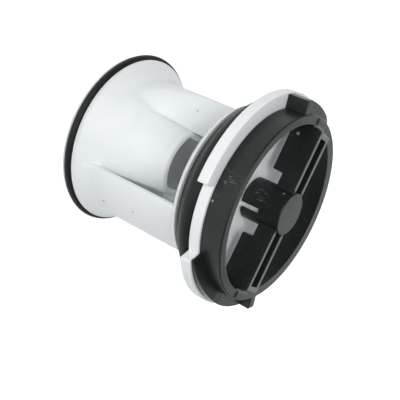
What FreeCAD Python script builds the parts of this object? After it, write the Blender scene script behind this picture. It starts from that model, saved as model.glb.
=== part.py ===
# Washer pump filter: a white funnel body with a black turn knob and two rubber rings.
# The part stands on its rear rim. +Z is the filter's axis and points to the knob.
# The grip lies along X, and the windows of the body face -Y and +Y. All sizes are in millimetres.
import FreeCAD
import Part
import Sketcher
import os

FULL_TURN = 360
HALF_TURN = 180

DRIVING = {
    # Rear rim with its groove
    "lip_rise": 1.75,
    "lip_thick": 0.9,
    "collar_rise": 1.4,
    "collar_thick": 0.8,
    # Rear ring of rubber
    "o_ring_radius": 31.2,
    "o_ring_section": 2.6,
    "ring_clear": 0.05,
    # Funnel
    "flare_step": 0.5,
    "waist_radius": 20.1,
    "mouth_radius": 14.3,
    "mouth_height": 31.0,
    "mouth_round": 1.5,
    "funnel_wall": 2.0,
    "flat_half": 12.8,
    "flat_start": 14.5,
    "flat_draft_angle": 5.3,
    # Walls that carry the front end
    "bridge_reach": 1.2,
    "bridge_wall": 2.0,
    "bridge_half_angle": 60.5,
    "web_lap": 1.05,
    "web_thick": 3.0,
    "flank_start": 9.0,
    "flank_spread": 26.8,
    "flank_waist": 9.2,
    # Front end of the body
    "flange_height": 45.8,
    "flange_thick": 1.8,
    "flange_reach": 2.9,
    "flange_taper": 1.1,
    "seat_radius": 25.6,
    "seat_wall": 2.2,
    "seal_length": 9.3,
    "bayonet_thick": 3.6,
    "bayonet_reach": 7.1,
    "bayonet_lug": 4.1,
    "entry_angle": 39.3,
    "entry_end_angle": 313.5,
    "recess_depth": 3.5,
    "plate_thick": 2.0,
    "post_wall": 2.0,
    "snap_rise": 1.4,
    "snap_height": 1.4,
    "snap_depth": 0.5,
    # Front seal
    "seal_rear_wall": 1.4,
    "seal_shoulder_wall": 6.6,
    "seal_shoulder_rise": 4.8,
    "seal_wall": 7.3,
    "seal_crown_rise": 6.4,
    "seal_front_wall": 4.8,
    # Knob ring and its lugs
    "ring_step": 0.7,
    "ring_wall": 3.2,
    "ring_height": 7.7,
    "ring_edge": 0.5,
    "lug_step": 0.9,
    "lug_rise": 4.2,
    "lug_toe": 0.9,
    "lug_angle": 70.7,
    "ramp_angle": 27.0,
    "stop_angle": 5.5,
    "stop_step": 0.6,
    # Grip and hub
    "grip_width": 7.2,
    "grip_wall": 1.3,
    "grip_floor": 1.8,
    "grip_rise": 3.1,
    "grip_slope": 1.5,
    "grip_gap": 0.4,
    "grip_end_wall": 1.6,
    "pad_length": 2.4,
    "pad_rise": 0.35,
    "notch_end": 11.2,
    "notch_rise": 3.8,
    "hub_radius": 7.2,
    "hub_rise": 3.6,
    "hub_wall": 1.2,
    "hub_cap": 3.0,
    "hub_gap": 0.4,
    "hub_edge": 0.4,
    "post_fit": 0.1,
    "slot_width": 2.0,
    "slot_length": 6.5,
    "slot_angle": 300.5,
}

DERIVED = {
    "groove_radius": "o_ring_radius - o_ring_section - ring_clear",
    "lip_radius": "groove_radius + lip_rise",
    "collar_radius": "groove_radius + collar_rise",
    "flare_radius": "collar_radius - flare_step",
    "groove_top": "lip_thick + o_ring_section + 2 * ring_clear",
    "collar_top": "groove_top + collar_thick",
    "o_ring_height": "lip_thick + ring_clear + o_ring_section / 2",
    "o_ring_centre": "o_ring_radius - o_ring_section / 2",
    "waist_height": "(collar_top + mouth_height) / 2",
    "mouth_inset": "mouth_round - mouth_round / sqrt(2)",
    "mouth_edge_height": "mouth_height - mouth_round",
    "mouth_edge_radius": "mouth_radius - mouth_round",
    "mouth_crown_height": "mouth_height - mouth_inset",
    "mouth_crown_radius": "mouth_radius - mouth_inset",
    "mouth_half": "flat_half - (mouth_height - flat_start) * tan(flat_draft_angle)",
    "hollow_flare": "flare_radius - funnel_wall",
    "hollow_waist": "waist_radius - funnel_wall",
    "hollow_mouth": "mouth_radius - funnel_wall",
    "hollow_top": "mouth_height + funnel_wall",
    "seat_inner": "seat_radius - seat_wall",
    "bridge_radius": "seat_radius + bridge_reach",
    "web_reach": "seat_inner + web_lap",
    "web_half": "web_thick / 2",
    "flank_waist_height": "(flank_start + flange_height) / 2 - web_thick / 2",
    "flange_top": "flange_height + flange_thick",
    "bayonet_rear": "flange_top + seal_length",
    "bayonet_front": "bayonet_rear + bayonet_thick",
    "plate_front": "bayonet_front - recess_depth",
    "plate_rear": "plate_front - plate_thick",
    "flange_radius": "seat_radius + flange_reach",
    "flange_rear_radius": "flange_radius - flange_taper",
    "bayonet_root": "seat_radius + bayonet_reach",
    "bayonet_radius": "bayonet_root + bayonet_lug",
    "bayonet_angle": f"{HALF_TURN} - entry_angle",
    "seal_inner": "seat_radius + ring_clear",
    "seal_rear_radius": "seat_radius + seal_rear_wall",
    "seal_shoulder_radius": "seat_radius + seal_shoulder_wall",
    "seal_shoulder": "flange_top + seal_shoulder_rise",
    "seal_radius": "seat_radius + seal_wall",
    "seal_front_radius": "seat_radius + seal_front_wall",
    "seal_crown": "flange_top + seal_crown_rise",
    "ring_radius": "bayonet_root - ring_step",
    "ring_inner": "ring_radius - ring_wall",
    "lug_radius": "bayonet_radius - lug_step",
    "stop_radius": "lug_radius + stop_step",
    "rim_height": "bayonet_front + ring_height",
    "ring_edge_height": "rim_height - ring_edge",
    "ring_edge_outer": "ring_radius - ring_edge",
    "ring_edge_inner": "ring_inner + ring_edge",
    "grip_end": "ring_inner - grip_slope",
    "grip_front": "rim_height + grip_rise",
    "grip_rear": "bayonet_front + grip_gap",
    "grip_foot": "grip_rear + grip_floor",
    "grip_top": "grip_front + grip_wall",
    "grip_groove_end": "grip_end - grip_end_wall",
    "pad_end": "ring_inner + pad_length",
    "pad_height": "rim_height + pad_rise",
    "grip_groove_width": "grip_width - 2 * grip_wall",
    "notch_top": "grip_rear + notch_rise",
    "hub_front": "rim_height + hub_rise",
    "hub_bore": "hub_radius - hub_wall",
    "hub_edge_height": "hub_front - hub_edge",
    "hub_edge_radius": "hub_radius - hub_edge",
    "bore_top": "hub_front - hub_cap",
    "hub_end": "plate_front + hub_gap",
    "slot_top": "hub_end + slot_length",
    "post_radius": "hub_bore - post_fit",
    "post_bore": "post_radius - post_wall",
    "post_top": "bore_top - hub_gap",
    "post_ceiling": "post_top - post_wall",
    "snap_low": "plate_front + snap_rise",
    "snap_high": "snap_low + snap_height",
    "snap_radius": "post_radius - snap_depth",
    "bead_radius": "snap_radius + post_fit",
    "bead_low": "snap_low + post_fit",
    "bead_high": "snap_high - post_fit",
}

doc = FreeCAD.newDocument("washer_pump_filter")
sheet = doc.addObject("Spreadsheet::Sheet", "Sizes")


def fill_sheet():
    """Write the driving sizes as numbers and the worked-out ones as formulas, each with its alias."""
    row = 0
    for name, value in DRIVING.items():
        row = row + 1
        sheet.set(f"A{row}", name)
        sheet.set(f"B{row}", str(value))
        sheet.setAlias(f"B{row}", name)
    for name, formula in DERIVED.items():
        row = row + 1
        sheet.set(f"A{row}", name)
        sheet.set(f"B{row}", f"={formula}")
        sheet.setAlias(f"B{row}", name)
    doc.recompute()


def size(name):
    """Value of one named size."""
    return float(getattr(sheet, name))


def bind(thing, **formulas):
    """Tie properties of an object to the sheet. A double underscore in a name stands for a point."""
    for name, formula in formulas.items():
        thing.setExpression(name.replace("__", "."), formula)


def cell(name):
    """Reference to one named size inside an expression."""
    return f"{sheet.Name}.{name}"


def plane(body, role):
    """Origin plane of a body by its role."""
    for feature in body.Origin.OriginFeatures:
        if feature.Role == role:
            return feature
    raise RuntimeError(f"no plane {role}")


def pin(sketch, index, place, point):
    """Tie one point of a sketch to two named sizes, or to an axis where the name is None."""
    across, up = point
    if across is None:
        sketch.addConstraint(Sketcher.Constraint("PointOnObject", index, place, -2))
    else:
        sketch.addConstraint(Sketcher.Constraint("DistanceX", -1, 1, index, place, size(across)))
        sketch.setExpression(f"Constraints[{sketch.ConstraintCount - 1}]", cell(across))
    if up is None:
        sketch.addConstraint(Sketcher.Constraint("PointOnObject", index, place, -1))
    else:
        sketch.addConstraint(Sketcher.Constraint("DistanceY", -1, 1, index, place, size(up)))
        sketch.setExpression(f"Constraints[{sketch.ConstraintCount - 1}]", cell(up))


def outline(sketch, corners, crowns=None):
    """Close a profile through named corners. A crown is the point that an arc passes through."""
    crowns = crowns or {}

    def vector(point):
        return FreeCAD.Vector(*[0.0 if name is None else size(name) for name in point], 0.0)

    sides = []
    for number, corner in enumerate(corners):
        following = corners[(number + 1) % len(corners)]
        if number in crowns:
            curve = Part.Arc(vector(corner), vector(crowns[number]), vector(following))
            sides.append(sketch.addGeometry(curve, False))
        else:
            sides.append(sketch.addGeometry(Part.LineSegment(vector(corner), vector(following)), False))
    ends = []
    for number, side in enumerate(sides):
        start = sketch.getPoint(side, 1)
        to_corner = (start - vector(corners[number])).Length
        to_following = (start - vector(corners[(number + 1) % len(corners)])).Length
        ends.append((1, 2) if to_corner < to_following else (2, 1))
    for number, side in enumerate(sides):
        other = (number + 1) % len(sides)
        joint = Sketcher.Constraint("Coincident", side, ends[number][1], sides[other], ends[other][0])
        sketch.addConstraint(joint)
    for number, side in enumerate(sides):
        pin(sketch, side, ends[number][0], corners[number])
    for number, crown in crowns.items():
        mark = sketch.addGeometry(Part.Point(vector(crown)), True)
        pin(sketch, mark, 1, crown)
        sketch.addConstraint(Sketcher.Constraint("PointOnObject", mark, 1, sides[number]))


def profile(body, name, corners, crowns=None):
    """Sketch of a profile in the upright plane through the axis: radius across, height up."""
    sketch = body.newObject("Sketcher::SketchObject", name)
    sketch.AttachmentSupport = [(plane(body, "XZ_Plane"), "")]
    sketch.MapMode = "FlatFace"
    outline(sketch, corners, crowns)
    doc.recompute()
    return sketch


def turned(body, name, corners, crowns=None, kind="PartDesign::Revolution"):
    """Revolution of a profile about the filter's axis, added to the body or taken from it."""
    sketch = profile(body, f"{name}_profile", corners, crowns)
    feature = body.newObject(kind, name)
    feature.Profile = sketch
    feature.ReferenceAxis = (sketch, ["V_Axis"])
    feature.Angle = FULL_TURN
    sketch.Visibility = False
    doc.recompute()
    return feature


def sector(name, radius, start, angle, base, top):
    """Slice of a cylinder about the axis, from one angle and between two heights."""
    slice_ = doc.addObject("Part::Cylinder", name)
    slice_.Placement = FreeCAD.Placement(FreeCAD.Vector(), FreeCAD.Rotation(FreeCAD.Vector(0, 0, 1), 1))
    bind(slice_, Radius=radius, Angle=angle, Height=f"{top} - {base}", Placement__Base__z=base)
    bind(slice_, Placement__Rotation__Angle=start)
    return slice_


def block(name, x, y, z):
    """Box between two places on each axis."""
    box = doc.addObject("Part::Box", name)
    bind(box, Length=f"{x[1]} - ({x[0]})", Width=f"{y[1]} - ({y[0]})", Height=f"{z[1]} - ({z[0]})")
    bind(box, Placement__Base__x=x[0], Placement__Base__y=y[0], Placement__Base__z=z[0])
    return box


def cut(name, base, tool):
    """One solid less another."""
    result = doc.addObject("Part::Cut", name)
    result.Base = base
    result.Tool = tool
    result.Refine = True
    return result


def fuse(name, shapes):
    """Several solids as one."""
    result = doc.addObject("Part::MultiFuse", name)
    result.Shapes = shapes
    result.Refine = True
    return result


def funnel_outside():
    """Rear rim with its groove, and the outside of the funnel as a solid of revolution."""
    body = doc.addObject("PartDesign::Body", "funnel_outside")
    corners = [
        (None, None),
        ("lip_radius", None),
        ("lip_radius", "lip_thick"),
        ("groove_radius", "lip_thick"),
        ("groove_radius", "groove_top"),
        ("collar_radius", "groove_top"),
        ("collar_radius", "collar_top"),
        ("flare_radius", "collar_top"),
        ("mouth_radius", "mouth_edge_height"),
        ("mouth_edge_radius", "mouth_height"),
        (None, "mouth_height"),
    ]
    crowns = {7: ("waist_radius", "waist_height"), 8: ("mouth_crown_radius", "mouth_crown_height")}
    turned(body, "funnel_turn", corners, crowns)
    return body


def side_block(name, half, start):
    """Block beyond the flat side of the funnel at +X, above a starting height, drafted to the mouth."""
    far = cell("bayonet_radius")
    side = block(name, (half, far), (f"-{far}", far), (start, cell("flange_height")))
    side.Placement.Rotation = FreeCAD.Rotation(FreeCAD.Vector(0, -1, 0), 1)
    bind(side, Placement__Rotation__Angle=cell("flat_draft_angle"))
    return side


def funnel_hollow():
    """Inside of the funnel: the same flare and flat sides, smaller by the wall."""
    body = doc.addObject("PartDesign::Body", "hollow_round")
    corners = [
        (None, None),
        ("hollow_flare", None),
        ("hollow_flare", "collar_top"),
        ("hollow_mouth", "mouth_height"),
        ("hollow_mouth", "hollow_top"),
        (None, "hollow_top"),
    ]
    turned(body, "hollow_turn", corners, {2: ("hollow_waist", "waist_height")})
    half = f"{cell('flat_half')} - {cell('funnel_wall')}"
    start = f"{cell('flat_start')} - {cell('funnel_wall')}"
    low = side_block("hollow_side_low", half, start)
    high = doc.addObject("Part::Mirroring", "hollow_side_high")
    high.Source = low
    high.Normal = FreeCAD.Vector(1, 0, 0)
    return cut("funnel_hollow", body, fuse("hollow_sides", [low, high]))


def front_end():
    """Thin flange, seal seat, bayonet flange and closed front plate with the hollow post of the knob."""
    body = doc.addObject("PartDesign::Body", "front_end")
    corners = [
        (None, "post_ceiling"),
        ("post_bore", "post_ceiling"),
        ("post_bore", "plate_rear"),
        ("seat_inner", "plate_rear"),
        ("seat_inner", "flange_height"),
        ("flange_rear_radius", "flange_height"),
        ("flange_radius", "flange_top"),
        ("seat_radius", "flange_top"),
        ("seat_radius", "bayonet_rear"),
        ("bayonet_root", "bayonet_rear"),
        ("bayonet_root", "bayonet_front"),
        ("seat_inner", "bayonet_front"),
        ("seat_inner", "plate_front"),
        ("post_radius", "plate_front"),
        ("post_radius", "snap_low"),
        ("snap_radius", "snap_low"),
        ("snap_radius", "snap_high"),
        ("post_radius", "snap_high"),
        ("post_radius", "post_top"),
        (None, "post_top"),
    ]
    turned(body, "front_turn", corners)
    return body


def bayonet_lugs():
    """Two wide lugs of the bayonet flange, with the entry gaps between them."""
    lugs = []
    for number in range(2):
        start = f"{cell('entry_end_angle')} + {number} * {HALF_TURN}"
        lug = sector(f"bayonet_slice_{number + 1}", cell("bayonet_radius"), start, cell("bayonet_angle"),
                     cell("bayonet_rear"), cell("bayonet_front"))
        core = doc.addObject("Part::Cylinder", f"bayonet_core_{number + 1}")
        bind(core, Radius=f"({cell('bayonet_root')} + {cell('seat_radius')}) / 2")
        bind(core, Height=cell("bayonet_front"), Placement__Base__z=cell("flange_height"))
        lugs.append(cut(f"bayonet_lug_{number + 1}", lug, core))
    return lugs


def lower_wall():
    """Curved wall that carries the front end on the +X side."""
    base = cell("groove_top")
    top = f"({cell('flange_height')} + {cell('flange_top')}) / 2"
    half = cell("bridge_half_angle")
    slice_ = sector("lower_wall_slice", cell("bridge_radius"), f"-{half}", f"2 * {half}", base, top)
    core = doc.addObject("Part::Cylinder", "lower_wall_core")
    bind(core, Radius=f"{cell('bridge_radius')} - {cell('bridge_wall')}", Height=cell("flange_top"))
    return cut("lower_wall", slice_, core)


def upper_web():
    """Web that carries the front end on the -X side, before its two flanks are hollowed."""
    top = f"({cell('plate_front')} + {cell('plate_rear')}) / 2"
    slice_ = sector("upper_web_slice", cell("web_reach"), f"{HALF_TURN} / 2", f"{HALF_TURN}",
                    cell("collar_top"), top)
    far = cell("bayonet_radius")
    inner = block("upper_web_inner", (f"-{cell('mouth_half')}", far), (f"-{far}", far), ("0", top))
    return cut("upper_web", slice_, inner)


def web_flanks():
    """Room beside the web: a long hollow curve from the flare up to the thin flange, on both sides."""
    room = doc.addObject("Sketcher::SketchObject", "flank_profile")
    upright = FreeCAD.Placement(FreeCAD.Matrix(0, 0, -1, 0, -1, 0, 0, 0, 0, 1, 0, 0)).Rotation
    draft = FreeCAD.Rotation(FreeCAD.Vector(0, 1, 0), size("flat_draft_angle"))
    room.Placement = FreeCAD.Placement(FreeCAD.Vector(), draft.multiply(upright))
    corners = [
        ("web_half", "plate_front"),
        ("web_half", "flange_height"),
        ("flank_spread", "flank_start"),
        ("bayonet_radius", "flank_start"),
        ("bayonet_radius", "plate_front"),
    ]
    outline(room, corners, {1: ("flank_waist", "flank_waist_height")})
    foot = f"tan({cell('flat_draft_angle')}) * {cell('flat_start')}"
    bind(room, Placement__Base__x=f"-({cell('flat_half')} + {foot})")
    near = doc.addObject("Part::Extrusion", "flank_near")
    near.Base = room
    near.DirMode = "Normal"
    near.Solid = True
    bind(near, LengthFwd=cell("bayonet_radius"))
    far = doc.addObject("Part::Mirroring", "flank_far")
    far.Source = near
    far.Normal = FreeCAD.Vector(0, 1, 0)
    return fuse("web_flanks", [near, far])


def filter_body():
    """White moulding: funnel, walls and front end in one piece."""
    channel = side_block("lower_channel", cell("flat_half"), cell("flat_start"))
    flared = fuse("funnel_with_web", [funnel_outside(), upper_web()])
    trimmed = cut("funnel_trimmed", flared, fuse("funnel_trims", [channel, web_flanks()]))
    pieces = [trimmed, front_end(), lower_wall()]
    pieces.extend(bayonet_lugs())
    return cut("filter_body", fuse("body_solid", pieces), funnel_hollow())


def knob_core():
    """Grip with its groove and notches, knob ring and hub."""
    body = doc.addObject("PartDesign::Body", "knob_core")
    side = profile(body, "grip_side", [
        (None, "notch_top"),
        ("notch_end", "notch_top"),
        ("notch_end", "grip_rear"),
        ("pad_end", "grip_rear"),
        ("pad_end", "pad_height"),
        ("ring_inner", "pad_height"),
        ("grip_end", "grip_front"),
        (None, "grip_front"),
    ])
    half = body.newObject("PartDesign::Pad", "grip_half")
    half.Profile = side
    half.Midplane = True
    bind(half, Length=cell("grip_width"))
    channel = profile(body, "grip_channel", [
        (None, "grip_foot"),
        ("grip_groove_end", "grip_foot"),
        ("grip_groove_end", "grip_top"),
        (None, "grip_top"),
    ])
    groove = body.newObject("PartDesign::Pocket", "grip_groove")
    groove.Profile = channel
    groove.Midplane = True
    bind(groove, Length=cell("grip_groove_width"))
    doc.recompute()
    both = body.newObject("PartDesign::PolarPattern", "grip_both_halves")
    both.Originals = [half, groove]
    both.Axis = (side, ["V_Axis"])
    both.Angle = FULL_TURN
    both.Occurrences = 2
    body.Tip = both
    doc.recompute()
    turned(body, "hub_turn", [
        (None, "hub_end"),
        ("hub_radius", "hub_end"),
        ("hub_radius", "hub_edge_height"),
        ("hub_edge_radius", "hub_front"),
        (None, "hub_front"),
    ])
    turned(body, "hub_hollow", [
        (None, "hub_end"),
        ("hub_bore", "hub_end"),
        ("hub_bore", "bead_low"),
        ("bead_radius", "bead_low"),
        ("bead_radius", "bead_high"),
        ("hub_bore", "bead_high"),
        ("hub_bore", "bore_top"),
        (None, "bore_top"),
    ], kind="PartDesign::Groove")
    turned(body, "ring_turn", [
        ("ring_inner", "bayonet_front"),
        ("ring_radius", "bayonet_front"),
        ("ring_radius", "ring_edge_height"),
        ("ring_edge_outer", "rim_height"),
        ("ring_edge_inner", "rim_height"),
        ("ring_inner", "ring_edge_height"),
    ])
    return body


def ramp_lug(number):
    """Lug outside the ring: a ramp that rises to a level land, and a stop rib at its end."""
    start = f"{cell('entry_end_angle')} + {number} * {HALF_TURN}"
    base = cell("bayonet_front")
    core_radius = f"({cell('ring_radius')} + {cell('ring_inner')}) / 2"
    stop_start = f"{start} + {cell('lug_angle')} - {cell('stop_angle')}"
    land = sector(f"lug_slice_{number}", cell("lug_radius"), start, cell("lug_angle"),
                  base, f"({base} + {cell('lug_rise')})")
    stop = sector(f"stop_slice_{number}", cell("stop_radius"), stop_start, cell("stop_angle"),
                  base, cell("ring_edge_height"))
    ramp = doc.addObject("Part::Wedge", f"ramp_room_{number}")
    ramp.Placement = FreeCAD.Placement(FreeCAD.Vector(), FreeCAD.Rotation(FreeCAD.Vector(0, 0, 1), 1))
    reach = f"{cell('stop_radius')} * tan({cell('ramp_angle')})"
    rise = f"{cell('lug_rise')} - {cell('lug_toe')}"
    bind(ramp, Xmin="0", Xmax=cell("stop_radius"), X2min="0", X2max=cell("stop_radius"))
    bind(ramp, Ymin="0", Ymax=reach, Zmin="0", Zmax=rise, Z2min=rise, Z2max=rise)
    bind(ramp, Placement__Base__z=f"{base} + {cell('lug_toe')}", Placement__Rotation__Angle=start)
    shaped = cut(f"lug_ramped_{number}", land, ramp)
    joined = fuse(f"lug_with_stop_{number}", [shaped, stop])
    core = doc.addObject("Part::Cylinder", f"lug_core_{number}")
    bind(core, Radius=core_radius, Height=cell("rim_height"), Placement__Base__z=cell("plate_rear"))
    return cut(f"ramp_lug_{number}", joined, core)


def snap_slot():
    """Slot across the hub's free end, which lets its two halves spring over the post."""
    slot = doc.addObject("Part::Box", "snap_slot")
    slot.Placement = FreeCAD.Placement(FreeCAD.Vector(), FreeCAD.Rotation(FreeCAD.Vector(0, 0, 1), 1))
    reach = f"({cell('hub_radius')} + {cell('hub_gap')})"
    half = f"{cell('slot_width')} / 2"
    angle = cell("slot_angle")
    bind(slot, Length=f"2 * {reach}", Width=cell("slot_width"))
    bind(slot, Height=f"{cell('slot_top')} - {cell('plate_front')}", Placement__Base__z=cell("plate_front"))
    bind(slot, Placement__Rotation__Angle=angle)
    bind(slot, Placement__Base__x=f"-{reach} * cos({angle}) + {half} * sin({angle})")
    bind(slot, Placement__Base__y=f"-{reach} * sin({angle}) - {half} * cos({angle})")
    return slot


def turn_knob():
    """Black moulding: ring, grip, split hub that snaps over the post, ramp lugs and end stops."""
    pieces = [knob_core(), ramp_lug(0), ramp_lug(1)]
    return cut("turn_knob", fuse("knob_solid", pieces), snap_slot())


def front_seal():
    """Rubber ring that widens from the thin flange to a round crown at the bayonet flange."""
    body = doc.addObject("PartDesign::Body", "front_seal")
    corners = [
        ("seal_inner", "flange_top"),
        ("seal_rear_radius", "flange_top"),
        ("seal_shoulder_radius", "seal_shoulder"),
        ("seal_front_radius", "bayonet_rear"),
        ("seal_inner", "bayonet_rear"),
    ]
    turned(body, "seal_turn", corners, {2: ("seal_radius", "seal_crown")})
    return body


def rear_o_ring():
    """Rubber ring in the groove of the rear rim."""
    ring = doc.addObject("Part::Torus", "rear_o_ring")
    bind(ring, Radius1=cell("o_ring_centre"), Radius2=f"{cell('o_ring_section')} / 2")
    bind(ring, Placement__Base__z=cell("o_ring_height"))
    return ring


def check(pieces):
    """Stop where an object failed, or where a piece is not one sound solid."""
    for thing in doc.Objects:
        if "Invalid" in thing.State or "Error" in thing.State:
            raise RuntimeError(f"{thing.Name} failed: {thing.State}")
    for name, thing in pieces.items():
        shape = thing.Shape
        if shape.isNull() or not shape.isValid() or len(shape.Solids) != 1:
            raise RuntimeError(f"{name} is not one sound solid")
        print(name, "volume", round(shape.Volume, 1), "box", shape.BoundBox)


def main():
    fill_sheet()
    pieces = {
        "filter_body": filter_body(),
        "turn_knob": turn_knob(),
        "front_seal": front_seal(),
        "rear_o_ring": rear_o_ring(),
    }
    doc.recompute()
    for name, thing in pieces.items():
        thing.Label = name
    check(pieces)
    os.makedirs("parts", exist_ok=True)
    for name, thing in pieces.items():
        thing.Shape.exportStep(f"parts/{name}.step")


main()
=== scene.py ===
# Washer pump filter: white funnel body, black turn knob, front seal and rear ring of rubber.
# The part stands on its rear rim, and the camera is rolled as in the photograph.
# Shapes are modelled in millimetres and made metres when a piece is finished.
import bmesh
import bpy
import math
from mathutils import Matrix, Vector


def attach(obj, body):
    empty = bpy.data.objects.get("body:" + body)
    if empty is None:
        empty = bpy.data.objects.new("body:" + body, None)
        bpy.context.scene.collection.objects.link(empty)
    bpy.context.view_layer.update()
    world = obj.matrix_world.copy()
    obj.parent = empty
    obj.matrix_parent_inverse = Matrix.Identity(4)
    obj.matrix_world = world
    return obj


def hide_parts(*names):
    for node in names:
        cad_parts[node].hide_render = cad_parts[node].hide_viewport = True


MM = 0.001
HALF_TURN = 180.0
AXIS = {"cent": (0, 0, 0), "axis": (0, 0, 1)}

# Sizes of the solids, repeated from the part's source
RIM_INNER = 27.45
LIP_RADIUS = 30.3
LIP_TOP = 0.9
GROOVE_RADIUS = 28.55
GROOVE_TOP = 3.6
COLLAR_RADIUS = 29.95
COLLAR_TOP = 4.4
FLARE = (29.45, 4.4)
WAIST = (20.1, 17.7)
MOUTH_EDGE = (14.3, 29.5)
MOUTH_CROWN = (13.861, 30.561)
MOUTH_TOP = (12.8, 31.0)
HOLLOW_MOUTH = (12.3, 31.0)
HOLLOW_WAIST = (18.1, 17.7)
HOLLOW_FLARE = (27.45, 4.4)
FLAT_HALF = 12.8
FLAT_START = 14.5
FLAT_DRAFT = math.tan(math.radians(5.3))
HOLLOW_HALF = 10.8
HOLLOW_START = 12.5
MOUTH_HALF = 11.27
WEB_REACH = 24.45
FLANK = ((1.5, 45.8), (9.2, 25.9), (26.8, 9.0))
WALL_INNER = 24.8
WALL_OUTER = 26.8
WALL_REAR = 3.9
WALL_FRONT = 46.6
WALL_HALF_ANGLE = 60.5
SEAT_INNER = 23.4
SEAT_OUTER = 25.6
FLANGE_REAR = (27.4, 45.8)
FLANGE_FRONT = (28.5, 47.6)
BAYONET_ROOT = 32.7
BAYONET_REACH = 36.8
BAYONET_REAR = 56.9
BAYONET_FRONT = 60.5
PLATE_REAR = 55.0
PLATE_FRONT = 57.0
POST_BORE = 3.9
POST_RADIUS = 5.9
POST_CEILING = 66.4
POST_TOP = 68.4
LUG_START = 313.5
BAYONET_ANGLE = 140.7
RING_INNER = 28.8
RING_OUTER = 32.0
RING_FRONT = 68.2
LUG_RADIUS = 35.9
LUG_TOE = 0.9
LUG_RISE = 4.2
LUG_ANGLE = 70.7
RAMP_ANGLE = 27.0
STOP_RADIUS = 36.5
STOP_ANGLE = 5.5
STOP_FRONT = 67.7
HUB_RADIUS = 7.2
HUB_BORE = 6.0
HUB_REAR = 57.4
HUB_FRONT = 71.8
HUB_CEILING = 68.8
SLOT_TOP = 63.9
SLOT_ANGLE = 300.5
SLOT_HALF_ANGLE = 8.6
GRIP_HALF = 3.6
GRIP_WALL = 1.3
GRIP_TOP = 71.3
# Side of half the grip from the hub outwards: arch over the plate, end on the ring, sloped end, top
GRIP_SIDE = [(0, 64.7), (11.2, 64.7), (11.2, 60.9), (31.2, 60.9), (31.2, 68.55), (28.8, 68.55),
             (27.3, GRIP_TOP), (0, GRIP_TOP)]
GROOVE_FLOOR = 62.7
GROOVE_END = 25.7
SEAL_BORE = 25.65
SEAL_FOOT = 27.0
SEAL_SHOULDER = (32.2, 52.4)
SEAL_CROWN = (32.9, 54.0)
SEAL_FRONT = 30.4
CORD_RADIUS = 1.3
CORD_MIDDLE = (29.9, 0.0, 2.25)

# Soft forms round the tube that the solids leave out: lengths, and spans of height or of degrees
WEB_REAR = 26.5
WEB_FRONT = 46.8
RIDGE_AT_FOOT = 7.0
RIDGE_IN_FRONT = 1.5
RIDGE_HEIGHTS = (20.0, 32.0)
FOOT_HEIGHTS = (13.0, 19.0)
FOOT_DEGREES = (35.0, 64.0)
VALLEY_BLEND = 0.6
VALLEY_AT_FOOT = 2.4
VALLEY_HEIGHTS = (8.5, 12.5)
VALLEY_DEGREES = (60.0, 85.0)
LEAST_BLEND = 0.01
UPPER_FLAT_HEIGHTS = (9.0, 14.0)
UPPER_FLAT_BLEND = 2.6
LOWER_FLAT_BLEND = 0.8
SHELF_BLEND = 0.4
WALL_FOOT_BLEND = 2.5
WALL_FOOT_DROP = 6.0
WALL_FOOT_HEIGHTS = (11.2, 11.8)
WALL_SIDE_DEGREES = (WALL_HALF_ANGLE - 2.0, WALL_HALF_ANGLE + 3.0)

# Edge radii of the mouldings
RIM_EDGE = 0.22
WEB_EDGE = 0.35
WALL_EDGE = 0.3
FRONT_END_EDGE = 0.25
BAYONET_EDGE = 0.4
RING_EDGE = 0.5
LUG_EDGE = 0.3
HUB_EDGE = 0.4
SKIRT_EDGE = 0.25
GRIP_EDGE = 0.28
SEAL_EDGE = 0.2

# How shapes are joined and shaded: distances in which points merge or count as one, overlaps of shapes,
# the least value to divide by, and the angle from which an edge is shaded as sharp
PROFILE_MERGE = 0.005
MERGE = 0.002
NEAR = 0.05
TOUCH = 0.01
SINK = 0.02
SKIRT_OVERLAP = 0.8
LEAST = 0.001
SHARP_ANGLE = 40.0

# Wear that the photograph shows: places and radii of specks and scuffed patches; and widths of painted edge
# highlights
WHITE_SPECKS = (((22.7, -14.3, 13.9), 0.7), ((21.1, -16.6, 28.1), 0.5), ((-18.3, -7.9, 28.7), 0.6))
BLACK_SCUFFS = (((-1.6, -32.0, 62.4), 3.2), ((-1.0, -32.0, 65.4), 2.0), ((-1.4, -7.0, 62.8), 3.4))
BLACK_SPECKS = (((6.0, -31.4, 61.5), 0.5), ((-5.1, -5.1, 69.0), 0.5), ((-24.4, -3.6, 63.8), 0.7))
SPOT_CORE = 0.4
EDGE_HIGHLIGHT_WIDTH = 0.6
EDGE_HIGHLIGHT_CORE = 0.3
GRIP_HIGHLIGHT_CORE = 0.1
RING_EDGE_SLACK = 0.4

# Studio and camera: the floor's half width is in metres, places are in millimetres
FLOOR_HALF = 3.0
FLOOR_LIFT = 0.65
SKY_STRENGTH = 0.4
LIGHT_AIM = (0, 0, 36)
CAMERA_PLACE = (0.77, -223.2, 166.6)
CAMERA_RIGHT = (-0.4262, 0.4580, 0.7801)
CAMERA_UP = (-0.9041, -0.1872, -0.3841)
SENSOR_WIDTH = 36.0
FOCAL_LENGTH = 68.36
NEAREST_SEEN = 10
FARTHEST_SEEN = 10000

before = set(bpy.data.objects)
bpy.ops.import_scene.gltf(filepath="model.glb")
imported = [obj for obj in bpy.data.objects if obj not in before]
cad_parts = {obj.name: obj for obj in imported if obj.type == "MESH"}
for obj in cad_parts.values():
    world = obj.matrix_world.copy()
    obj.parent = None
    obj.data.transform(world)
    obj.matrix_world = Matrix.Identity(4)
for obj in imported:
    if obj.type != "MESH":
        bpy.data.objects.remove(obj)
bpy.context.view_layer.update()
scene = bpy.context.scene
scene.view_settings.view_transform = "Standard"


def linear(colour):
    """Linear colour with full alpha from an sRGB hex value."""
    parts = [int(colour[place:place + 2], 16) / 255 for place in (1, 3, 5)]
    toned = [part / 12.92 if part <= 0.04045 else ((part + 0.055) / 1.055) ** 2.4 for part in parts]
    return (*toned, 1.0)


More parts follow.
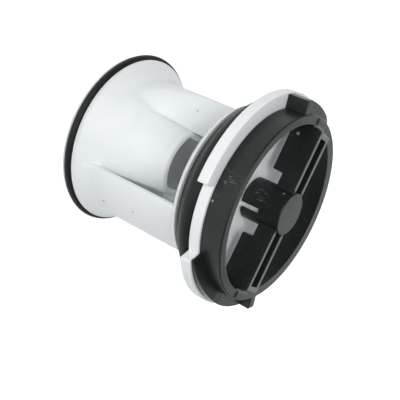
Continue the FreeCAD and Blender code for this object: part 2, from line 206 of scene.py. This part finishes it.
def per_mm(size):
    """Texture scale that gives features of this many millimetres."""
    return 1.0 / (size * MM)


def add(tree, kind, inputs=None, **settings):
    """One shader node with its settings, and its inputs as values or links."""
    made = tree.nodes.new(kind)
    for name, value in settings.items():
        setattr(made, name, value)
    for name, value in (inputs or {}).items():
        if isinstance(value, bpy.types.NodeSocket):
            tree.links.new(value, made.inputs[name])
        else:
            made.inputs[name].default_value = value
    return made


def blank_material(name):
    """New material with an empty node tree."""
    material = bpy.data.materials.new(name)
    material.use_nodes = True
    material.node_tree.nodes.clear()
    return material, material.node_tree


def spots(tree, place, marks):
    """Mask of small soft-edged spots: each mark has its place and radius in millimetres."""
    mask = None
    for centre, radius in marks:
        away = add(tree, "ShaderNodeVectorMath", {0: place, 1: Vector(centre) * MM}, operation="DISTANCE")
        near = add(tree, "ShaderNodeMapRange", {
            "Value": away.outputs["Value"], "From Min": radius * MM, "From Max": SPOT_CORE * radius * MM})
        if mask is None:
            mask = near
        else:
            mask = add(tree, "ShaderNodeMath", {
                0: mask.outputs[0], 1: near.outputs[0]}, operation="MAXIMUM")
    return mask.outputs[0]


# Painted highlight: pale lines on the grip's wall tops and the ring's inner front edge stand in for glints
# of light
def painted_edge_highlights(tree, place):
    """Mask of painted highlights on edges: the tops of the grip's walls and the ring's inner front edge."""
    axes = add(tree, "ShaderNodeSeparateXYZ", {"Vector": place})
    side = add(tree, "ShaderNodeMath", {0: axes.outputs["X"]}, operation="ABSOLUTE")
    clear = add(tree, "ShaderNodeMapRange", {
        "Value": side.outputs[0], "From Min": HUB_RADIUS * MM, "From Max": (HUB_RADIUS + EDGE_HIGHLIGHT_WIDTH) * MM})
    top = add(tree, "ShaderNodeMapRange", {
        "Value": axes.outputs["Z"], "From Min": (GRIP_TOP - EDGE_HIGHLIGHT_CORE) * MM,
        "From Max": (GRIP_TOP - GRIP_HIGHLIGHT_CORE) * MM, "To Max": 0.55})
    grip_tops_highlight = add(tree, "ShaderNodeMath", {0: clear.outputs[0], 1: top.outputs[0]}, operation="MULTIPLY")
    flat = add(tree, "ShaderNodeVectorMath", {0: place, 1: (1.0, 1.0, 0.0)}, operation="MULTIPLY")
    reach = add(tree, "ShaderNodeVectorMath", {0: flat.outputs["Vector"]}, operation="LENGTH")
    inner = add(tree, "ShaderNodeMapRange", {
        "Value": reach.outputs["Value"], "From Min": (RING_INNER + EDGE_HIGHLIGHT_WIDTH) * MM,
        "From Max": (RING_INNER + EDGE_HIGHLIGHT_CORE) * MM})
    front = add(tree, "ShaderNodeMapRange", {
        "Value": axes.outputs["Z"], "From Min": (RING_FRONT - EDGE_HIGHLIGHT_WIDTH) * MM,
        "From Max": (RING_FRONT - EDGE_HIGHLIGHT_CORE) * MM, "To Max": 0.5})
    brim = add(tree, "ShaderNodeMath", {0: inner.outputs[0], 1: front.outputs[0]}, operation="MULTIPLY")
    on_ring = add(tree, "ShaderNodeMath", {
        0: reach.outputs["Value"], 1: (RING_INNER - RING_EDGE_SLACK) * MM}, operation="GREATER_THAN")
    ring_brim_highlight = add(tree, "ShaderNodeMath", {0: brim.outputs[0], 1: on_ring.outputs[0]}, operation="MULTIPLY")
    edge_highlight = add(tree, "ShaderNodeMath", {
        0: grip_tops_highlight.outputs[0], 1: ring_brim_highlight.outputs[0]}, operation="MAXIMUM")
    return edge_highlight.outputs[0]


def white_polypropylene():
    """Polypropylene, injection moulded in a satin tool."""
    # It gives the eye a cool white with a soft broad highlight, a little depth and a few specks of dirt.
    # The tool's grain is finer in life, and is drawn as coarse as it needs to show.
    material, tree = blank_material("white_polypropylene_satin_moulded")
    place = add(tree, "ShaderNodeTexCoord").outputs["Object"]
    flow = add(tree, "ShaderNodeTexNoise", {"Vector": place, "Scale": per_mm(18.0), "Detail": 2.0})
    grain = add(tree, "ShaderNodeTexNoise", {"Vector": place, "Scale": per_mm(0.6), "Detail": 2.0})
    tint = add(tree, "ShaderNodeMix", {
        "Factor": flow.outputs["Fac"], "A": linear("#F3F6F7"), "B": linear("#EDF1F2")}, data_type="RGBA")
    dirt = add(tree, "ShaderNodeMix", {
        "Factor": spots(tree, place, WHITE_SPECKS), "A": tint.outputs[2], "B": linear("#9EA4A2")},
        data_type="RGBA")
    gloss = add(tree, "ShaderNodeMapRange", {"Value": flow.outputs["Fac"], "To Min": 0.36, "To Max": 0.48})
    relief = add(tree, "ShaderNodeBump", {
        "Height": grain.outputs["Fac"], "Strength": 0.12, "Distance": 0.03 * MM})
    skin = add(tree, "ShaderNodeBsdfPrincipled", {
        "Base Color": dirt.outputs[2], "Roughness": gloss.outputs["Result"],
        "Normal": relief.outputs["Normal"], "IOR": 1.49, "Subsurface Weight": 0.5,
        "Subsurface Radius": (1.0, 1.0, 1.0), "Subsurface Scale": 1.5 * MM})
    add(tree, "ShaderNodeOutputMaterial", {"Surface": skin.outputs["BSDF"]})
    return material


def black_polypropylene():
    """Carbon-black polypropylene, injection moulded in a satin tool."""
    # It gives the eye near black with a grey sheen, fine dust, pale scuffs and painted highlights on edges.
    # The grain, the dust and the scratches are finer in life, and are drawn as coarse as they need to show.
    material, tree = blank_material("black_polypropylene_satin_moulded")
    place = add(tree, "ShaderNodeTexCoord").outputs["Object"]
    flow = add(tree, "ShaderNodeTexNoise", {"Vector": place, "Scale": per_mm(9.0), "Detail": 3.0})
    grain = add(tree, "ShaderNodeTexNoise", {"Vector": place, "Scale": per_mm(0.5), "Detail": 2.0})
    dust = add(tree, "ShaderNodeMapRange", {
        "Value": grain.outputs["Fac"], "From Min": 0.66, "From Max": 0.74, "To Max": 0.22})
    slanted = add(tree, "ShaderNodeMapping", {
        "Vector": place, "Rotation": (0.0, 0.6, 0.0), "Scale": (1.0, 1.0, 0.25)})
    lines = add(tree, "ShaderNodeTexNoise", {
        "Vector": slanted.outputs["Vector"], "Scale": per_mm(0.5), "Detail": 3.0})
    scratches = add(tree, "ShaderNodeMapRange", {
        "Value": lines.outputs["Fac"], "From Min": 0.54, "From Max": 0.7, "To Max": 0.6})
    scuffed = add(tree, "ShaderNodeMath", {
        0: scratches.outputs[0], 1: spots(tree, place, BLACK_SCUFFS)}, operation="MULTIPLY")
    pale = add(tree, "ShaderNodeMath", {
        0: scuffed.outputs[0], 1: spots(tree, place, BLACK_SPECKS)}, operation="MAXIMUM")
    # Real fine dust together with the painted edge highlights, in one mask
    dust_and_highlight = add(tree, "ShaderNodeMath", {
        0: painted_edge_highlights(tree, place), 1: dust.outputs[0]}, operation="MAXIMUM")
    wear_and_highlight = add(tree, "ShaderNodeMath", {0: pale.outputs[0], 1: dust_and_highlight.outputs[0]}, operation="MAXIMUM")
    tint = add(tree, "ShaderNodeMix", {
        "Factor": flow.outputs["Fac"], "A": linear("#171B1A"), "B": linear("#202524")}, data_type="RGBA")
    # Scuffs, specks and dust are the moulding's own; the pale lines on the edges are painted highlight
    shown = add(tree, "ShaderNodeMix", {
        "Factor": wear_and_highlight.outputs[0], "A": tint.outputs[2], "B": linear("#8B9290")}, data_type="RGBA")
    gloss = add(tree, "ShaderNodeMapRange", {"Value": flow.outputs["Fac"], "To Min": 0.28, "To Max": 0.42})
    relief = add(tree, "ShaderNodeBump", {
        "Height": grain.outputs["Fac"], "Strength": 0.15, "Distance": 0.03 * MM})
    skin = add(tree, "ShaderNodeBsdfPrincipled", {
        "Base Color": shown.outputs[2], "Roughness": gloss.outputs["Result"],
        "Normal": relief.outputs["Normal"], "IOR": 1.49, "Specular IOR Level": 0.28})
    add(tree, "ShaderNodeOutputMaterial", {"Surface": skin.outputs["BSDF"]})
    return material


def black_rubber():
    """Nitrile rubber, compression moulded."""
    # It gives the eye a matt black with a faint pale bloom.
    # The grain is finer in life, and is drawn as coarse as it needs to show.
    material, tree = blank_material("black_nitrile_rubber_moulded")
    place = add(tree, "ShaderNodeTexCoord").outputs["Object"]
    bloom = add(tree, "ShaderNodeTexNoise", {"Vector": place, "Scale": per_mm(6.0), "Detail": 4.0})
    grain = add(tree, "ShaderNodeTexNoise", {"Vector": place, "Scale": per_mm(0.4), "Detail": 2.0})
    tint = add(tree, "ShaderNodeMix", {
        "Factor": bloom.outputs["Fac"], "A": linear("#0E1110"), "B": linear("#171A19")}, data_type="RGBA")
    gloss = add(tree, "ShaderNodeMapRange", {"Value": bloom.outputs["Fac"], "To Min": 0.45, "To Max": 0.6})
    relief = add(tree, "ShaderNodeBump", {
        "Height": grain.outputs["Fac"], "Strength": 0.2, "Distance": 0.03 * MM})
    skin = add(tree, "ShaderNodeBsdfPrincipled", {
        "Base Color": tint.outputs[2], "Roughness": gloss.outputs["Result"],
        "Normal": relief.outputs["Normal"], "IOR": 1.52, "Specular IOR Level": 0.28})
    add(tree, "ShaderNodeOutputMaterial", {"Surface": skin.outputs["BSDF"]})
    return material


def pale_floor():
    """Matt white paper sweep that shows as plain white and keeps the part's soft shadow."""
    material, tree = blank_material("white_paper_sweep")
    rays = add(tree, "ShaderNodeLightPath")
    seen = add(tree, "ShaderNodeMath", {
        0: rays.outputs["Is Camera Ray"], 1: rays.outputs["Is Glossy Ray"]}, operation="MAXIMUM")
    shown = add(tree, "ShaderNodeMath", {
        0: seen.outputs[0], 1: rays.outputs["Is Transmission Ray"]}, operation="MAXIMUM")
    lift = add(tree, "ShaderNodeMath", {0: shown.outputs[0], 1: FLOOR_LIFT}, operation="MULTIPLY")
    paper = add(tree, "ShaderNodeBsdfDiffuse", {"Color": linear("#EDEEEE")})
    glow = add(tree, "ShaderNodeEmission", {"Color": linear("#FFFFFF"), "Strength": lift.outputs[0]})
    both = add(tree, "ShaderNodeAddShader", {0: paper.outputs[0], 1: glow.outputs[0]})
    add(tree, "ShaderNodeOutputMaterial", {"Surface": both.outputs[0]})
    return material


def circle_middle(start, crown, end):
    """Middle of the circle through three points of a profile."""
    first, second, third = Vector(start), Vector(crown), Vector(end)
    sums = Vector((second.length_squared - first.length_squared,
                   third.length_squared - second.length_squared))
    return Matrix((second - first, third - second)).inverted() @ (sums / 2)


def outline(corners, crowns=None, closed=True):
    """Profile as a new shape, radius across and height up. A crown is a point on an arc, and its steps."""
    shape = bmesh.new()
    crowns = crowns or {}
    following = corners[1:] + corners[:1] if closed else corners[1:]
    for number, (corner, after) in enumerate(zip(corners, following)):
        start = shape.verts.new((corner[0], 0.0, corner[1]))
        if number in crowns:
            crown, steps = crowns[number]
            middle = circle_middle(corner, crown, after)
            angle = (Vector(corner) - middle).angle_signed(Vector(after) - middle)
            bmesh.ops.spin(shape, geom=[start], cent=(middle.x, 0.0, middle.y), axis=(0, 1, 0), angle=angle,
                           steps=steps)
        else:
            shape.edges.new((start, shape.verts.new((after[0], 0.0, after[1]))))
    bmesh.ops.remove_doubles(shape, verts=shape.verts, dist=PROFILE_MERGE)
    return shape


def turned(shape, steps=144):
    """Full turn of a profile about the filter's axis."""
    profile = shape.verts[:] + shape.edges[:]
    bmesh.ops.spin(shape, geom=profile, angle=math.tau, steps=steps, use_merge=True, **AXIS)
    bmesh.ops.remove_doubles(shape, verts=shape.verts, dist=MERGE)
    bmesh.ops.recalc_face_normals(shape, faces=shape.faces)
    return shape


def swept(shape, start, angle, steps):
    """Part turn of a profile about the axis from a starting angle, closed at both ends."""
    first = Matrix.Rotation(math.radians(start), 3, "Z")
    bmesh.ops.rotate(shape, verts=shape.verts, cent=(0, 0, 0), matrix=first)
    profile = shape.verts[:] + shape.edges[:]
    bmesh.ops.spin(shape, geom=profile, angle=math.radians(angle), steps=steps, **AXIS)
    bmesh.ops.edgeloop_fill(shape, edges=[edge for edge in shape.edges if edge.is_boundary])
    bmesh.ops.recalc_face_normals(shape, faces=shape.faces)
    return shape


def rounded(shape, radius, segments=3, sharp=25.0):
    """Round all edges where two faces meet at more than so many degrees."""
    least = math.radians(sharp)
    hard = [edge for edge in shape.edges if edge.is_manifold and edge.calc_face_angle(0.0) > least]
    bmesh.ops.bevel(shape, geom=hard, offset=radius, offset_type="OFFSET", affect="EDGES",
                    segments=segments, profile=0.5, material=-1, clamp_overlap=True, loop_slide=True)
    return shape


def half_turn_copy(shape):
    """The same shape turned half round the axis, as a second one."""
    other = shape.copy()
    bmesh.ops.rotate(other, verts=other.verts, cent=(0, 0, 0), matrix=Matrix.Rotation(math.pi, 3, "Z"))
    return other


def smaller(one, other, blend):
    """Lesser of two lengths, with a soft change from one to the other."""
    share = min(max(0.5 + 0.5 * (other - one) / blend, 0.0), 1.0)
    return other + (one - other) * share - blend * share * (1.0 - share)


def larger(one, other, blend):
    """Greater of two lengths, with a soft change from one to the other."""
    return -smaller(-one, -other, blend)


def eased(low, high, value):
    """Share from 0 at the low end to 1 at the high end, with soft ends."""
    share = min(max((value - low) / (high - low), 0.0), 1.0)
    return share * share * (3.0 - 2.0 * share)


def arc_radius(start, crown, end, height):
    """Distance across at a height, on the hollow side of the arc through three points."""
    middle = circle_middle(start, crown, end)
    reach = (Vector(start) - middle).length
    return middle.x - math.sqrt(reach ** 2 - (height - middle.y) ** 2)


def flank_half(height):
    """Half the width of the web at a height: wide at the flare, narrow at the thin flange."""
    inside = min(max(height, FLANK[2][1]), FLANK[0][1])
    return arc_radius(*FLANK, inside)


def web_outside(away, height):
    """Radius of the web at an angle from the -X side. Its ridges are broad at the foot, crisp in front."""
    ridge = RIDGE_AT_FOOT + (RIDGE_IN_FRONT - RIDGE_AT_FOOT) * eased(*RIDGE_HEIGHTS, height)
    return smaller(WEB_REACH, flank_half(height) / max(math.sin(away), LEAST), ridge)


def flare_outside(height):
    """Radius of the round flare at a height."""
    return arc_radius(FLARE, WAIST, MOUTH_EDGE, min(height, MOUTH_EDGE[1]))


def flare_inside(height):
    """Radius of the round hollow at a height."""
    return arc_radius(HOLLOW_MOUTH, HOLLOW_WAIST, HOLLOW_FLARE, height)


def tube_outside(turn, height):
    """Radius of the tube with its drafted flat sides. The upper flat has the softer edges."""
    flat = (FLAT_HALF - FLAT_DRAFT * (height - FLAT_START)) / max(abs(math.cos(turn)), LEAST)
    soft = LOWER_FLAT_BLEND if math.cos(turn) > 0.0 else UPPER_FLAT_BLEND
    return smaller(flare_outside(height), flat, soft)


def lower_outside(turn, height):
    """Radius of the funnel on the +X side: flare, shelf, tube, and the foot of the lower wall."""
    flare = flare_outside(height)
    shelf = FLAT_START + FLAT_DRAFT * (flare * math.cos(turn) - FLAT_HALF)
    flat_share = eased(shelf - SHELF_BLEND, shelf + SHELF_BLEND, height)
    tube = flare + (tube_outside(turn, height) - flare) * flat_share
    beyond = eased(*WALL_SIDE_DEGREES, math.degrees(abs(turn)))
    foot = larger(flare, WALL_OUTER - SINK - WALL_FOOT_DROP * beyond, WALL_FOOT_BLEND)
    return foot + (tube - foot) * eased(*WALL_FOOT_HEIGHTS, height)


def upper_outside(turn, height):
    """Radius of the funnel on the -X side: flare, tube, and the foot of the web with a soft valley."""
    away = math.pi - abs(turn)
    degrees = math.degrees(away)
    flare = flare_outside(height)
    tube = flare + (tube_outside(turn, height) - flare) * eased(*UPPER_FLAT_HEIGHTS, height)
    low = 1.0 - eased(*FOOT_HEIGHTS, height)
    share = 1.0 - eased(*FOOT_DEGREES, degrees) * low
    web = flare + (web_outside(away, height) - flare) * share
    beside = 1.0 - eased(*VALLEY_DEGREES, degrees)
    blend = (VALLEY_BLEND + VALLEY_AT_FOOT * low) * eased(*VALLEY_HEIGHTS, height) * beside
    return larger(tube, web, blend + LEAST_BLEND)


def funnel_inside(turn, height):
    """Radius of the funnel's inside with its flat sides."""
    flare = flare_inside(height)
    flat = (HOLLOW_HALF - FLAT_DRAFT * (height - HOLLOW_START)) / max(abs(math.cos(turn)), LEAST)
    flat_share = eased(HOLLOW_START - SHELF_BLEND, HOLLOW_START + SHELF_BLEND, height)
    return flare + (smaller(flare, flat, LOWER_FLAT_BLEND) - flare) * flat_share


def funnel():
    """Rim with its groove, flare, tube with two flat sides and rounded mouth, in one shell."""
    # The crowns go with the corners by number: the flare, the mouth's rounding and the hollow
    shape = outline([
        (RIM_INNER, 0.0), (LIP_RADIUS, 0.0), (LIP_RADIUS, LIP_TOP), (GROOVE_RADIUS, LIP_TOP),
        (GROOVE_RADIUS, GROOVE_TOP), (COLLAR_RADIUS, GROOVE_TOP), (COLLAR_RADIUS, COLLAR_TOP),
        FLARE, MOUTH_EDGE, MOUTH_TOP, HOLLOW_MOUTH, HOLLOW_FLARE,
    ], {7: (WAIST, 56), 8: (MOUTH_CROWN, 6), 10: (HOLLOW_WAIST, 40)})
    turned(shape, steps=360)
    rounded(shape, RIM_EDGE, segments=2, sharp=35.0)
    for dot in shape.verts:
        across, along, height = dot.co
        radius = math.hypot(across, along)
        turn = math.atan2(along, across)
        if height <= COLLAR_TOP + NEAR:
            continue
        if height > MOUTH_TOP[1] - NEAR:
            limit = (HOLLOW_MOUTH[0] + MOUTH_TOP[0]) / 2
        else:
            limit = (flare_inside(height) + flare_outside(height)) / 2
        if radius < limit:
            moved = funnel_inside(turn, height) + radius - flare_inside(height)
        elif height > MOUTH_EDGE[1] + TOUCH:
            moved = tube_outside(turn, height) + radius - MOUTH_EDGE[0]
        elif across > 0.0:
            moved = lower_outside(turn, height)
        else:
            moved = upper_outside(turn, height)
        dot.co.x = across * moved / radius
        dot.co.y = along * moved / radius
    return shape


def upper_web():
    """Web from the tube's mouth up to the thin flange, narrower towards the front."""
    shape = bmesh.new()
    bmesh.ops.create_grid(shape, x_segments=60, y_segments=44, size=1.0)
    for dot in shape.verts:
        across, up = dot.co.xy
        height = WEB_REAR + (WEB_FRONT - WEB_REAR) * (up + 1.0) / 2
        turn = across * math.atan2(flank_half(height), MOUTH_HALF)
        radius = web_outside(abs(turn), height) - SINK
        dot.co = (-radius * math.cos(turn), radius * math.sin(turn), height)
    rims = [edge for edge in shape.edges if edge.is_boundary]
    sides = [edge for edge in rims if abs(edge.verts[0].co.z - edge.verts[1].co.z) > TOUCH]
    bmesh.ops.bridge_loops(shape, edges=sides)
    bmesh.ops.holes_fill(shape, edges=shape.edges)
    bmesh.ops.recalc_face_normals(shape, faces=shape.faces)
    return rounded(shape, WEB_EDGE, sharp=50.0)


def lower_wall():
    """Curved wall from the rear rim to the thin flange on the +X side."""
    shape = outline([(WALL_INNER, WALL_REAR), (WALL_OUTER, WALL_REAR), (WALL_OUTER, WALL_FRONT),
                     (WALL_INNER, WALL_FRONT)])
    return rounded(swept(shape, -WALL_HALF_ANGLE, 2 * WALL_HALF_ANGLE, steps=72), WALL_EDGE)


def front_end():
    """Thin flange, seal seat, bayonet flange, front plate and the hollow post of the knob."""
    shape = outline([
        (0.0, POST_CEILING), (POST_BORE, POST_CEILING), (POST_BORE, PLATE_REAR), (SEAT_INNER, PLATE_REAR),
        (SEAT_INNER, FLANGE_REAR[1]), FLANGE_REAR, FLANGE_FRONT, (SEAT_OUTER, FLANGE_FRONT[1]),
        (SEAT_OUTER, BAYONET_REAR), (BAYONET_ROOT, BAYONET_REAR), (BAYONET_ROOT, BAYONET_FRONT),
        (SEAT_INNER, BAYONET_FRONT), (SEAT_INNER, PLATE_FRONT), (POST_RADIUS, PLATE_FRONT),
        (POST_RADIUS, POST_TOP), (0.0, POST_TOP),
    ], closed=False)
    return rounded(turned(shape), FRONT_END_EDGE)


def bayonet_lug():
    """Wide lug of the bayonet flange with its corners rounded."""
    core = (BAYONET_ROOT + SEAT_OUTER) / 2
    shape = outline([(core, BAYONET_REAR), (BAYONET_REACH, BAYONET_REAR), (BAYONET_REACH, BAYONET_FRONT),
                     (core, BAYONET_FRONT)])
    return rounded(swept(shape, LUG_START, BAYONET_ANGLE, steps=84), BAYONET_EDGE)


def knob_ring():
    """Plain ring that carries the grip."""
    shape = outline([(RING_INNER, BAYONET_FRONT), (RING_OUTER, BAYONET_FRONT), (RING_OUTER, RING_FRONT),
                     (RING_INNER, RING_FRONT)])
    return rounded(turned(shape), RING_EDGE, segments=4)


def ramp_lug():
    """Lug outside the ring: a ramp that rises to a level land."""
    core = (RING_OUTER + RING_INNER) / 2
    toe = BAYONET_FRONT + LUG_TOE
    shape = outline([(core, BAYONET_FRONT), (LUG_RADIUS, BAYONET_FRONT), (LUG_RADIUS, toe), (core, toe)])
    swept(shape, 0.0, LUG_ANGLE - STOP_ANGLE / 2, steps=60)
    length = STOP_RADIUS * math.tan(math.radians(RAMP_ANGLE))
    for dot in shape.verts:
        if dot.co.z > toe - TOUCH:
            on_ramp = dot.co.x > 0.0 and dot.co.y < length
            share = max(dot.co.y / length, 0.0) if on_ramp else 1.0
            dot.co.z = toe + (LUG_RISE - LUG_TOE) * share
    bmesh.ops.rotate(shape, verts=shape.verts, cent=(0, 0, 0),
                     matrix=Matrix.Rotation(math.radians(LUG_START), 3, "Z"))
    return rounded(shape, LUG_EDGE)


def stop_rib():
    """Stop at the end of a ramp lug."""
    core = (RING_OUTER + RING_INNER) / 2
    shape = outline([(core, BAYONET_FRONT), (STOP_RADIUS, BAYONET_FRONT), (STOP_RADIUS, STOP_FRONT),
                     (core, STOP_FRONT)])
    return rounded(swept(shape, LUG_START + LUG_ANGLE - STOP_ANGLE, STOP_ANGLE, steps=6), LUG_EDGE)


def hub_cap():
    """Closed front of the hub above its slot."""
    shape = outline([
        (0.0, HUB_CEILING), (HUB_BORE, HUB_CEILING), (HUB_BORE, SLOT_TOP), (HUB_RADIUS, SLOT_TOP),
        (HUB_RADIUS, HUB_FRONT), (0.0, HUB_FRONT),
    ], closed=False)
    return rounded(turned(shape, steps=96), HUB_EDGE)


def hub_skirt():
    """Springy half of the hub's free end, beside the slot."""
    inside_cap = SLOT_TOP + SKIRT_OVERLAP
    shape = outline([(HUB_BORE, HUB_REAR), (HUB_RADIUS, HUB_REAR), (HUB_RADIUS, inside_cap),
                     (HUB_BORE, inside_cap)])
    angle = HALF_TURN - 2 * SLOT_HALF_ANGLE
    return rounded(swept(shape, SLOT_ANGLE + SLOT_HALF_ANGLE, angle, steps=44), SKIRT_EDGE)


def grip_half():
    """Half of the grip: two thin walls with a groove between, a floor and a solid end on the ring."""
    shape = bmesh.new()
    dots = [shape.verts.new((across, -GRIP_HALF, height)) for across, height in GRIP_SIDE]
    shape.faces.new(dots)
    for point, normal in (((GROOVE_END, 0, 0), (1, 0, 0)), ((0, 0, GROOVE_FLOOR), (0, 0, 1))):
        bmesh.ops.bisect_plane(shape, geom=shape.verts[:] + shape.edges[:] + shape.faces[:],
                               plane_co=point, plane_no=normal, dist=LEAST)
    wall = bmesh.ops.extrude_face_region(shape, geom=shape.faces[:])["geom"]
    bmesh.ops.translate(shape, verts=[one for one in wall if isinstance(one, bmesh.types.BMVert)],
                        vec=(0, GRIP_WALL, 0))
    solid = []
    for face in [one for one in wall if isinstance(one, bmesh.types.BMFace)]:
        middle = face.calc_center_median()
        if middle.x > GROOVE_END or middle.z < GROOVE_FLOOR:
            solid.append(face)
    inner = bmesh.ops.extrude_face_region(shape, geom=solid)["geom"]
    bmesh.ops.translate(shape, verts=[one for one in inner if isinstance(one, bmesh.types.BMVert)],
                        vec=(0, GRIP_HALF - GRIP_WALL, 0))
    # The mirrored halves meet in the middle, so no face is left between them or inside the solid parts
    middle_faces = [one for one in inner if isinstance(one, bmesh.types.BMFace)]
    bmesh.ops.delete(shape, geom=middle_faces + solid, context="FACES")
    bmesh.ops.mirror(shape, geom=shape.verts[:] + shape.edges[:] + shape.faces[:],
                     matrix=Matrix.Identity(4), merge_dist=MERGE, axis="Y")
    bmesh.ops.remove_doubles(shape, verts=shape.verts, dist=MERGE)
    bmesh.ops.recalc_face_normals(shape, faces=shape.faces)
    return rounded(shape, GRIP_EDGE)


def front_seal():
    """Rubber ring that widens from the thin flange to a round crown."""
    rear = FLANGE_FRONT[1]
    shape = outline([
        (SEAL_BORE, rear), (SEAL_FOOT, rear), SEAL_SHOULDER, (SEAL_FRONT, BAYONET_REAR),
        (SEAL_BORE, BAYONET_REAR),
    ], {2: (SEAL_CROWN, 16)})
    return rounded(turned(shape, steps=192), SEAL_EDGE, segments=2, sharp=40.0)


def rear_ring():
    """Round rubber ring in the groove of the rear rim."""
    shape = bmesh.new()
    bmesh.ops.create_circle(shape, segments=32, radius=CORD_RADIUS)
    bmesh.ops.rotate(shape, verts=shape.verts, cent=(0, 0, 0), matrix=Matrix.Rotation(math.pi / 2, 3, "X"))
    bmesh.ops.translate(shape, verts=shape.verts, vec=CORD_MIDDLE)
    return turned(shape, steps=192)


def joined(shapes):
    """One closed skin round shapes that run into each other, with nothing left inside."""
    holders = []
    for shape in shapes:
        holder = bpy.data.objects.new("shape", bpy.data.meshes.new("shape"))
        shape.to_mesh(holder.data)
        shape.free()
        scene.collection.objects.link(holder)
        holders.append(holder)
    for other in holders[1:]:
        union = holders[0].modifiers.new("union", "BOOLEAN")
        union.operation = "UNION"
        union.solver = "MANIFOLD"
        union.object = other
    finished = holders[0].evaluated_get(bpy.context.evaluated_depsgraph_get())
    skin = bpy.data.meshes.new_from_object(finished)
    whole = bmesh.new()
    whole.from_mesh(skin)
    for mesh in [skin] + [holder.data for holder in holders]:
        bpy.data.meshes.remove(mesh)
    return whole


def moulding(piece_name, shapes, material, node_name):
    """Join shapes into one piece in metres, and give it its material, slot and place on the part."""
    whole = joined(shapes)
    bmesh.ops.scale(whole, vec=(MM, MM, MM), verts=whole.verts)
    for face in whole.faces:
        face.smooth = True
    for edge in whole.edges:
        edge.smooth = not edge.is_manifold or edge.calc_face_angle(0.0) < math.radians(SHARP_ANGLE)
    mesh = bpy.data.meshes.new(piece_name)
    whole.to_mesh(mesh)
    whole.free()
    mesh.materials.append(material)
    piece = bpy.data.objects.new(piece_name, mesh)
    scene.collection.objects.link(piece)
    shading = piece.modifiers.new("even_shading", "WEIGHTED_NORMAL")
    shading.mode = "FACE_AREA"
    shading.keep_sharp = True
    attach(piece, "root")
    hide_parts(node_name)


def softbox(name, place, width, height, power):
    """Rectangular soft light turned to the part's middle. Lengths are in millimetres, power in watts."""
    lamp = bpy.data.lights.new(name, "AREA")
    lamp.shape = "RECTANGLE"
    lamp.size = width * MM
    lamp.size_y = height * MM
    lamp.energy = power
    holder = bpy.data.objects.new(name, lamp)
    start = Vector(place) * MM
    holder.location = start
    holder.rotation_mode = "QUATERNION"
    holder.rotation_quaternion = (Vector(LIGHT_AIM) * MM - start).to_track_quat("-Z", "Y")
    scene.collection.objects.link(holder)


def studio():
    """White sweep, even sky, key and fill lights on the camera's side, and a back light for the knob."""
    ground = bmesh.new()
    bmesh.ops.create_grid(ground, x_segments=1, y_segments=1, size=FLOOR_HALF)
    mesh = bpy.data.meshes.new("paper_sweep")
    ground.to_mesh(mesh)
    ground.free()
    mesh.materials.append(pale_floor())
    sweep = bpy.data.objects.new("paper_sweep", mesh)
    scene.collection.objects.link(sweep)
    world = bpy.data.worlds.new("even_sky")
    world.use_nodes = True
    sky = world.node_tree.nodes["Background"]
    sky.inputs["Color"].default_value = linear("#FBFDFF")
    sky.inputs["Strength"].default_value = SKY_STRENGTH
    scene.world = world
    softbox("key_light", place=(-60, -440, 520), width=280, height=280, power=1.8)
    softbox("fill_light", place=(60, -560, 120), width=420, height=300, power=0.6)
    softbox("back_light", place=(-120, 640, 310), width=700, height=460, power=0.8)


def photo_camera():
    """Camera at the photograph's place, roll and field of view, for a square picture."""
    right = Vector(CAMERA_RIGHT)
    back = right.cross(Vector(CAMERA_UP)).normalized()
    up = back.cross(right).normalized()
    right = up.cross(back).normalized()
    lens = bpy.data.cameras.new("photo_camera")
    lens.sensor_width = SENSOR_WIDTH
    lens.lens = FOCAL_LENGTH
    lens.clip_start = NEAREST_SEEN * MM
    lens.clip_end = FARTHEST_SEEN * MM
    camera = bpy.data.objects.new("photo_camera", lens)
    turn = Matrix((right, up, back)).transposed().to_4x4()
    camera.matrix_world = Matrix.Translation(Vector(CAMERA_PLACE) * MM) @ turn
    scene.collection.objects.link(camera)
    scene.camera = camera


white = white_polypropylene()
black = black_polypropylene()
rubber = black_rubber()

lug = bayonet_lug()
body_shapes = [funnel(), upper_web(), lower_wall(), front_end(), lug, half_turn_copy(lug)]
moulding("body_moulding", body_shapes, white, "filter_body")

turned_in = [ramp_lug(), stop_rib(), hub_skirt(), grip_half()]
knob_shapes = [knob_ring(), hub_cap()] + [half_turn_copy(shape) for shape in turned_in] + turned_in
moulding("knob_moulding", knob_shapes, black, "turn_knob")

moulding("front_seal_ring", [front_seal()], rubber, "front_seal")
moulding("rear_ring", [rear_ring()], rubber, "rear_o_ring")
studio()
photo_camera()
